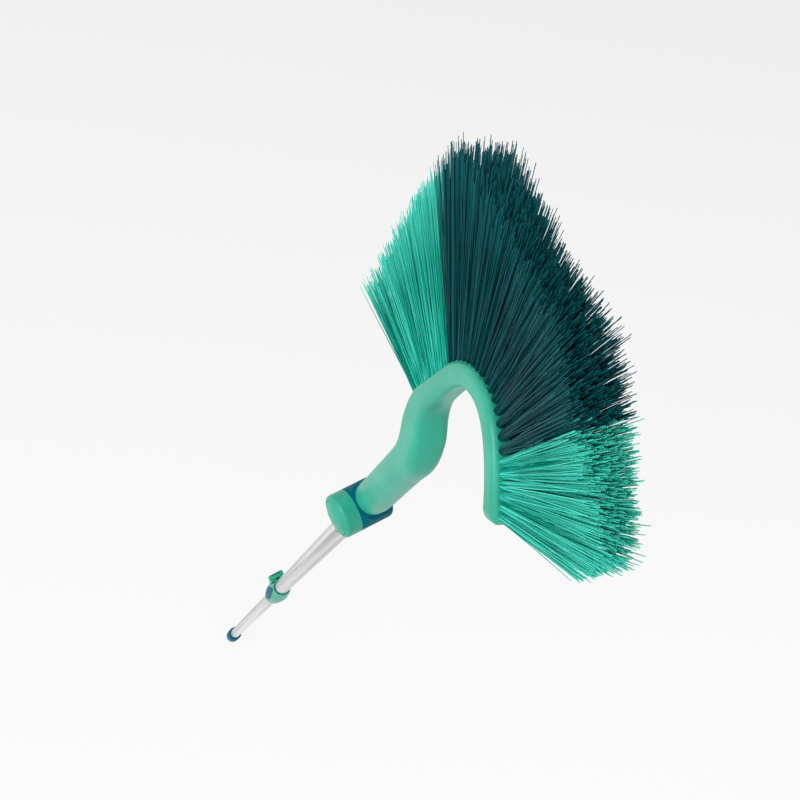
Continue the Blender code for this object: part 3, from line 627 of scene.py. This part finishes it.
def makeBack():
    # lofted up the bore from its blind end, down to the foot, and up the outside to the rounded end
    window = list(back["window"])
    bore = [backRing(place, radius=back["neckBore"]) for place in [back["boreEnd"]] + window[::-1]]
    bore.append(footRing(back["neckBore"]))
    outer = [footRing(back["neckRadius"])] + [backRing(place) for place in window]
    place = window[1] + back["neckRingStep"]
    while place < lineEnd - back["endRound"] - back["ringStep"] / 2:
        outer.append(backRing(place))
        place += back["ringStep"] if place > neckEnd - back["flatteningRun"] else back["neckRingStep"]
    outer.append(backRing(lineEnd - back["endRound"]))
    for lean in map(math.radians, back["endLeans"]):
        inset = back["endRound"] * (1 - math.cos(lean))
        outer.append(backRing(lineEnd - back["endRound"] * (1 - math.sin(lean)), inset))
    mesh = loft("brushBack", bore + outer)
    cutWindow(mesh, len(bore))
    smoothed(mesh, back["sharpAngle"])
    item = newPiece("brushBack", mesh, "mint_plastic", "head", "brush_back")
    bevelled(item, back["edgeRound"], back["edgeSegments"], back["edgeAngle"])


def cutWindow(mesh, boreRows):
    # opens the catch's window through the neck's wall, between the rings that hold its edges
    count = 4 * back["cornerPoints"]
    first, last = back["windowColumns"]
    shape = bmesh.new()
    shape.from_mesh(mesh)
    shape.verts.ensure_lookup_table()
    doomed, rims = [], []
    for low, high in ((2, 1), (boreRows + 1, boreRows + 2)):  # the bore's rows, then the outside's
        for column in range(first, last):
            corners = {shape.verts[row * count + place]
                       for row in (low, high) for place in (column, column + 1)}
            doomed += [face for face in shape.verts[low * count + column].link_faces
                       if set(face.verts) == corners]
        rim = [shape.verts[low * count + place] for place in range(first, last + 1)]
        rim += [shape.verts[high * count + place] for place in range(last, first - 1, -1)]
        rims.append(rim)
    bmesh.ops.delete(shape, geom=doomed, context="FACES_ONLY")
    inner, outer = rims
    for place in range(len(inner)):
        after = (place + 1) % len(inner)
        shape.faces.new((inner[place], inner[after], outer[after], outer[place]))
    bmesh.ops.recalc_face_normals(shape, faces=shape.faces)
    shape.to_mesh(mesh)
    shape.free()


makeBack()
print("back made")


# Bristles

bristles = {
    "length": 108 * mm,
    "startSetback": 18 * mm,
    "endMargin": 3 * mm,
    "stripSamples": 300,
    "rows": 3,
    "rootHalfWidth": 8.6 * mm,
    "tuftAlong": 2.1 * mm,
    "tuftAcross": 2.3 * mm,
    "strandsATuft": 76,
    "sunk": 2 * mm,
    "rootRadius": 0.34 * mm,
    "tipRadius": 0.24 * mm,
    "rings": (0.0, 0.22, 0.5, 0.77, 1.0),
    "sides": 4,
    "bend": 3.0 * mm,
    "shadeSpread": (2.2, 2.4),
    "sideSplay": math.radians(4.0),
    "sideSplayLoss": 0.7,  # lost towards the strip's end, where "endSplay" and "rowTwist" set in
    "endSplay": math.radians(2.2),
    "rowTwist": math.radians(6.5),
    "endRun": ((0.78, 0.0), (1.0, 1.0)),
    "straySplay": math.radians(1.5),
    "fanShare": 0.62,
    "frontExtra": 0.05,
    "rearShort": 0.08,
    "uneven": (-0.06, 0.02),
    "strayShare": 0.08,
    "strayExtraShare": 0.06,
    "boxMargin": 0.6 * mm,
    "trim": 0.985,
    "sharpAngle": 75,
}
# name, replaced node, slot, columns of tufts, the share of the strip where the sector ends, and how much
# lighter or darker its strands are painted, which is painted light; the tip sector is lifted most, for the
# light that shines through it
sectors = (
    ("mintBristlesNeck", "mint_bristles_neck", "mint_bristles", 9, 0.336, -0.05),
    ("darkBristlesRise", "dark_bristles_rise", "dark_bristles", 7, 0.565, -0.05),
    ("darkBristlesTop", "dark_bristles_top", "dark_bristles", 8, 0.834, 0.02),
    ("mintBristlesTip", "mint_bristles_tip", "mint_bristles", 6, 1.0, 0.13))
firstSeed = 11
# share along the strip and lean from upright in degrees, then share and length share
leanTable = ((0.0, -117), (0.336, -60), (0.45, -40), (0.58, -16), (0.72, 0), (0.834, 8), (1.0, 23.5))
lengthTable = ((0.0, 1.20), (0.12, 1.06), (0.3, 1.06), (0.38, 1.17), (0.45, 0.98), (0.56, 0.82), (0.64, 0.84),
               (0.72, 0.90), (0.84, 0.91), (1.0, 1.01))


def stripPlaces():
    # pairs of the share along the outer surface and the centreline distance under it
    start, end = archStart - bristles["startSetback"], lineEnd - bristles["endMargin"]
    count = bristles["stripSamples"]
    samples = [start + (end - start) * step / count for step in range(count + 1)]
    points = []
    for place in samples:
        centre, outward, forward = station(place)
        points.append(centre + outward * outerReach(place))
    lengths = [0.0]
    for near, far in zip(points, points[1:]):
        lengths.append(lengths[-1] + (far - near).length)
    return [(length / lengths[-1], place) for length, place in zip(lengths, samples)]


def tuftSpiral():
    # places of a tuft's strands along and across the back, wound out evenly from the tuft's middle
    goldenAngle = math.pi * (3 - math.sqrt(5))
    places = []
    for number in range(bristles["strandsATuft"]):
        reach = math.sqrt((number + 0.5) / bristles["strandsATuft"])
        places.append((reach * math.cos(goldenAngle * number), reach * math.sin(goldenAngle * number)))
    return places


stripTable = stripPlaces()
tuftPlaces = tuftSpiral()


def strandDirection(ownShare, sideShare, endShare, chance):
    # strands fan out to both sides, and towards the strip's end the near rows reach past the far ones
    lean = math.radians(between(leanTable, ownShare, eased=False))
    lean -= endShare * sideShare * bristles["rowTwist"]
    lean += chance.gauss(0, bristles["straySplay"])
    splay = bristles["sideSplay"] * sideShare * (1 - bristles["sideSplayLoss"] * endShare)
    splay += bristles["endSplay"] * endShare
    splay += chance.gauss(0, bristles["straySplay"])
    return Vector((math.sin(lean) * math.cos(splay), math.sin(splay), math.cos(lean) * math.cos(splay)))


def strandLength(ownShare, sideShare, endShare, chance):
    length = bristles["length"] * between(lengthTable, ownShare, eased=False)
    length *= 1 + chance.uniform(*bristles["uneven"])
    length *= 1 + endShare * (bristles["frontExtra"] * (1 - sideShare) / 2
                              - bristles["rearShort"] * (1 + sideShare) / 2)
    if chance.random() < bristles["strayShare"]:
        length *= 1 + bristles["strayExtraShare"] * chance.random()
    return length + bristles["sunk"]


def insideBox(point):
    margin = bristles["bend"] + bristles["boxMargin"]
    return all(cadLow[axis] + margin < point[axis] < cadHigh[axis] - margin for axis in range(3))


def addStrand(root, direction, length, paintedLift, chance, points, faces, shades, shares):
    # one tapered strand with a slight bend, closed at both ends
    level = direction.cross(Vector((0, 1, 0))).normalized()
    cross = direction.cross(level)
    turn = chance.uniform(0, math.tau)
    bend = (level * math.cos(turn) + cross * math.sin(turn)) * bristles["bend"] * chance.uniform(-1, 1)
    # the strand's own random tone, with its sector's painted light added
    shade = chance.betavariate(*bristles["shadeSpread"]) + paintedLift
    first = len(points)
    sides = bristles["sides"]
    for share in bristles["rings"]:
        centre = root + direction * length * share + bend * share * share
        radius = bristles["rootRadius"] + (bristles["tipRadius"] - bristles["rootRadius"]) * share
        for side in range(sides):
            angle = turn + math.tau * side / sides
            points.append(centre + (level * math.cos(angle) + cross * math.sin(angle)) * radius)
            shades.append(shade)
            shares.append(share)
    last = first + (len(bristles["rings"]) - 1) * sides
    for near in range(first, last, sides):
        faces += band(near, near + sides, sides)
    faces.append(tuple(first + side for side in range(sides))[::-1])
    faces.append(tuple(last + side for side in range(sides)))


def makeSector(name, nodeName, slotName, columns, start, end, paintedLift, seed):
    # the strands of a sector, in columns of tufts along the back, which gives back where the tufts stand
    chance = random.Random(seed)
    points, faces, shades, shares, tufts = [], [], [], [], []
    rows = bristles["rows"]
    for column in range(columns):
        share = start + (end - start) * (column + 0.5) / columns
        place = between(stripTable, share, eased=False)
        centre, outward, forward = station(place)
        surface = centre + outward * (outerReach(place) - bristles["sunk"])
        for row in range(rows):
            rowShare = ((row + 0.5) / rows * 2 - 1) * rows / (rows - 1)
            rowOffset = rowShare * (bristles["rootHalfWidth"] - bristles["tuftAcross"])
            middle = surface + Vector((0, rowOffset + back["sideShift"], 0))
            tufts.append((middle, outward, forward))
            for along, across in tuftPlaces:
                root = middle + forward * along * bristles["tuftAlong"]
                root = root + Vector((0, across * bristles["tuftAcross"], 0))
                ownShare = share + along * bristles["fanShare"] * (end - start) / columns
                sideShare = (root.y - back["sideShift"]) / bristles["rootHalfWidth"]
                endShare = between(bristles["endRun"], ownShare)
                direction = strandDirection(ownShare, sideShare, endShare, chance)
                length = strandLength(ownShare, sideShare, endShare, chance)
                while not insideBox(root + direction * length):
                    length *= bristles["trim"]
                addStrand(root, direction, length, paintedLift, chance, points, faces, shades, shares)
    mesh = bpy.data.meshes.new(name)
    mesh.from_pydata([tuple(point) for point in points], [], faces)
    mesh.attributes.new("strandToneAndLift", "FLOAT", "POINT").data.foreach_set("value", shades)
    mesh.attributes.new("tipShare", "FLOAT", "POINT").data.foreach_set("value", shares)
    smoothed(mesh, bristles["sharpAngle"])
    newPiece(name, mesh, slotName, "head", nodeName)
    return tufts


sockets = {
    "steps": 20,
    "sharpAngle": 60,
    # how far each ring stands out from the tuft and above the back
    "rings": ((0.8 * mm, -1.35 * mm), (0.5 * mm, 0.36 * mm), (0.25 * mm, 0.45 * mm), (0.0, 0.315 * mm),
              (-0.2 * mm, -0.9 * mm)),
}


def makeSockets(tufts):
    # a raised rim round each tuft, moulded with the back
    points, faces = [], []
    steps, rings = sockets["steps"], sockets["rings"]
    for middle, outward, forward in tufts:
        first = len(points)
        for grow, height in rings:
            for angle in (math.tau * step / steps for step in range(steps)):
                points.append(middle + outward * (bristles["sunk"] + height)
                              + forward * (bristles["tuftAlong"] + grow) * math.cos(angle)
                              + Vector((0, (bristles["tuftAcross"] + grow) * math.sin(angle), 0)))
        for ring in range(len(rings)):
            faces += band(first + ring * steps, first + (ring + 1) % len(rings) * steps, steps)
    mesh = bpy.data.meshes.new("tuftSockets")
    mesh.from_pydata([tuple(point) for point in points], [], faces)
    faceOutward(mesh)
    smoothed(mesh, sockets["sharpAngle"])
    newPiece("tuftSockets", mesh, "mint_plastic", "head")


tufts = []
sectorStart = 0.0
for number, (name, nodeName, slotName, columns, sectorEnd, paintedLift) in enumerate(sectors):
    tufts += makeSector(name, nodeName, slotName, columns, sectorStart, sectorEnd, paintedLift, firstSeed + number)
    sectorStart = sectorEnd
makeSockets(tufts)
print("bristles made")


# Finishes of the nodes that stay

innerFinish = {
    "tube_stop": "petrol_plastic", "guide_ring": "petrol_plastic", "lever_pin": "steel",
    "clamp_shoe": "brake_rubber", "base_pin": "steel", "lock_gear": "petrol_plastic", "pivot_bolt": "steel",
    "pivot_nut": "steel", "lock_spring": "steel", "click_spring": "steel"}
for nodeName, slotName in innerFinish.items():
    node = nodes[nodeName]
    if not node.material_slots:
        node.data.materials.append(finishes[slotName])
    for holder in node.material_slots:
        holder.material = finishes[slotName]


# Studio

studio = {
    "floorHalf": 14.0,
    "floorColour": "#f2f2f3",
    "floorGlow": 0.88,
    # the floor's look to the camera along x, painted darker towards -x as painted shade, where white is 1
    "fadeStart": -1.8,
    "fadeEnd": 0.4,
    "fadeDark": 0.88,
    # the world's light, from the side away from the key lamp to the key lamp's side
    "worldDim": 0.30,
    "worldBright": 0.74,
    "worldTurn": 0.8,
    # the world's look, white up to the rise and dim from the fall on, where straight up is 1
    "whiteRise": 0.25,
    "ceilingFall": 0.9,
    "ceiling": 0.50,
    "keyPlace": (0.3, -2.7, 3.4),
    "keySize": 2.0,
    "keyPower": 54,
    "fillPlace": (1.9, -0.9, 2.9),
    "fillSize": 1.4,
    "fillPower": 8,
    "aimRise": 0.2,
}


def seenShare(tree):
    # 1 where the camera sees it, straight, in gloss or through glass, and 0 where it lights the brush
    rays = addNode(tree, "ShaderNodeLightPath")
    seen = addNode(tree, "ShaderNodeMath", {"operation": "MAXIMUM"},
                   {0: rays.outputs["Is Camera Ray"], 1: rays.outputs["Is Glossy Ray"]})
    seen = addNode(tree, "ShaderNodeMath", {"operation": "MAXIMUM"},
                   {0: seen.outputs[0], 1: rays.outputs["Is Transmission Ray"]})
    return seen.outputs[0]


def makeFloor():
    # pale floor that keeps the soft shadow, and shows near white to the camera and in gloss
    half = studio["floorHalf"]
    mesh = bpy.data.meshes.new("studioFloor")
    corners = [(-half, -half, 0), (half, -half, 0), (half, half, 0), (-half, half, 0)]
    mesh.from_pydata(corners, [], [(0, 1, 2, 3)])
    floor = bpy.data.objects.new("studioFloor", mesh)
    scene.collection.objects.link(floor)
    material, tree = newMaterial("matPaintedFloor")
    weight = addNode(tree, "ShaderNodeMath", {"operation": "MULTIPLY", 1: studio["floorGlow"]},
                     {0: seenShare(tree)})
    paint = addNode(tree, "ShaderNodeBsdfDiffuse", {"Color": toLinear(studio["floorColour"])})
    apart = addNode(tree, "ShaderNodeSeparateXYZ", None, {
        "Vector": addNode(tree, "ShaderNodeTexCoord").outputs["Object"]})
    # painted shade: the floor's glow dims towards -x
    fade = addNode(tree, "ShaderNodeMapRange", {
        "From Min": studio["fadeStart"], "From Max": studio["fadeEnd"], "To Min": studio["fadeDark"]},
        {"Value": apart.outputs["X"]})
    glow = addNode(tree, "ShaderNodeEmission", {"Color": (1, 1, 1, 1)}, {"Strength": fade.outputs["Result"]})
    mixed = addNode(tree, "ShaderNodeMixShader", None,
                    {0: weight.outputs[0], 1: paint.outputs["BSDF"], 2: glow.outputs["Emission"]})
    addNode(tree, "ShaderNodeOutputMaterial", None, {"Surface": mixed.outputs["Shader"]})
    mesh.materials.append(material)


def makeWorld():
    world = bpy.data.worlds.new("studioWorld")
    world.use_nodes = True
    tree = world.node_tree
    tree.nodes.clear()
    # lights the brush more from the key lamp's side, so that round pieces shade from one side to the other
    way = addNode(tree, "ShaderNodeTexCoord").outputs["Generated"]
    towards = (Vector(studio["keyPlace"]) - joint).normalized()
    facing = addNode(tree, "ShaderNodeVectorMath", {"operation": "DOT_PRODUCT", 1: towards}, {0: way})
    light = addNode(tree, "ShaderNodeMapRange", {
        "From Min": -studio["worldTurn"], "From Max": studio["worldTurn"],
        "To Min": studio["worldDim"], "To Max": studio["worldBright"]}, {"Value": facing.outputs["Value"]})
    # looks white at the horizon and darker overhead, as a studio does
    rise = addNode(tree, "ShaderNodeSeparateXYZ", None, {"Vector": way})
    look = addNode(tree, "ShaderNodeMapRange", {
        "From Min": studio["whiteRise"], "From Max": studio["ceilingFall"],
        "To Min": 1.0, "To Max": studio["ceiling"]}, {"Value": rise.outputs["Z"]})
    strength = addNode(tree, "ShaderNodeMix", None, {
        "Factor": seenShare(tree), 2: light.outputs["Result"], 3: look.outputs["Result"]})
    sky = addNode(tree, "ShaderNodeBackground", {"Color": (1, 1, 1, 1)}, {"Strength": strength.outputs[0]})
    addNode(tree, "ShaderNodeOutputWorld", None, {"Surface": sky.outputs["Background"]})
    scene.world = world


def softLamp(name, place, size, power):
    # a round soft box that faces the head
    lamp = bpy.data.lights.new(name, "AREA")
    lamp.shape = "DISK"
    lamp.size = size
    lamp.energy = power
    item = bpy.data.objects.new(name, lamp)
    item.location = place
    item.rotation_mode = "QUATERNION"
    aim = joint + Vector((0, 0, studio["aimRise"]))
    item.rotation_quaternion = (aim - item.location).to_track_quat("-Z", "Y")
    scene.collection.objects.link(item)


makeFloor()
makeWorld()
softLamp("keyLamp", studio["keyPlace"], studio["keySize"], studio["keyPower"])
softLamp("fillLamp", studio["fillPlace"], studio["fillSize"], studio["fillPower"])


# Camera, placed from the joint

view = {
    "offset": (0.16078, -0.19673, 0.74044),
    "forward": (-0.30903, 0.29201, -0.90511),
    "up": (-0.94234, 0.03455, 0.33288),
    "lens": 40.5,
    "sensor": 36.0,
    "nearest": 0.01,
}


def makeCamera():
    camera = bpy.data.cameras.new("photoCamera")
    camera.lens = view["lens"]
    camera.sensor_width = view["sensor"]
    camera.clip_start = view["nearest"]
    item = bpy.data.objects.new("photoCamera", camera)
    forward = Vector(view["forward"]).normalized()
    right = forward.cross(Vector(view["up"])).normalized()
    up = right.cross(forward)
    item.matrix_world = Matrix.Translation(joint + Vector(view["offset"])) @ Matrix(
        (right, up, -forward)).transposed().to_4x4()
    scene.collection.objects.link(item)
    scene.camera = item


makeCamera()
scene.view_settings.view_transform = "Standard"
print("studio made")
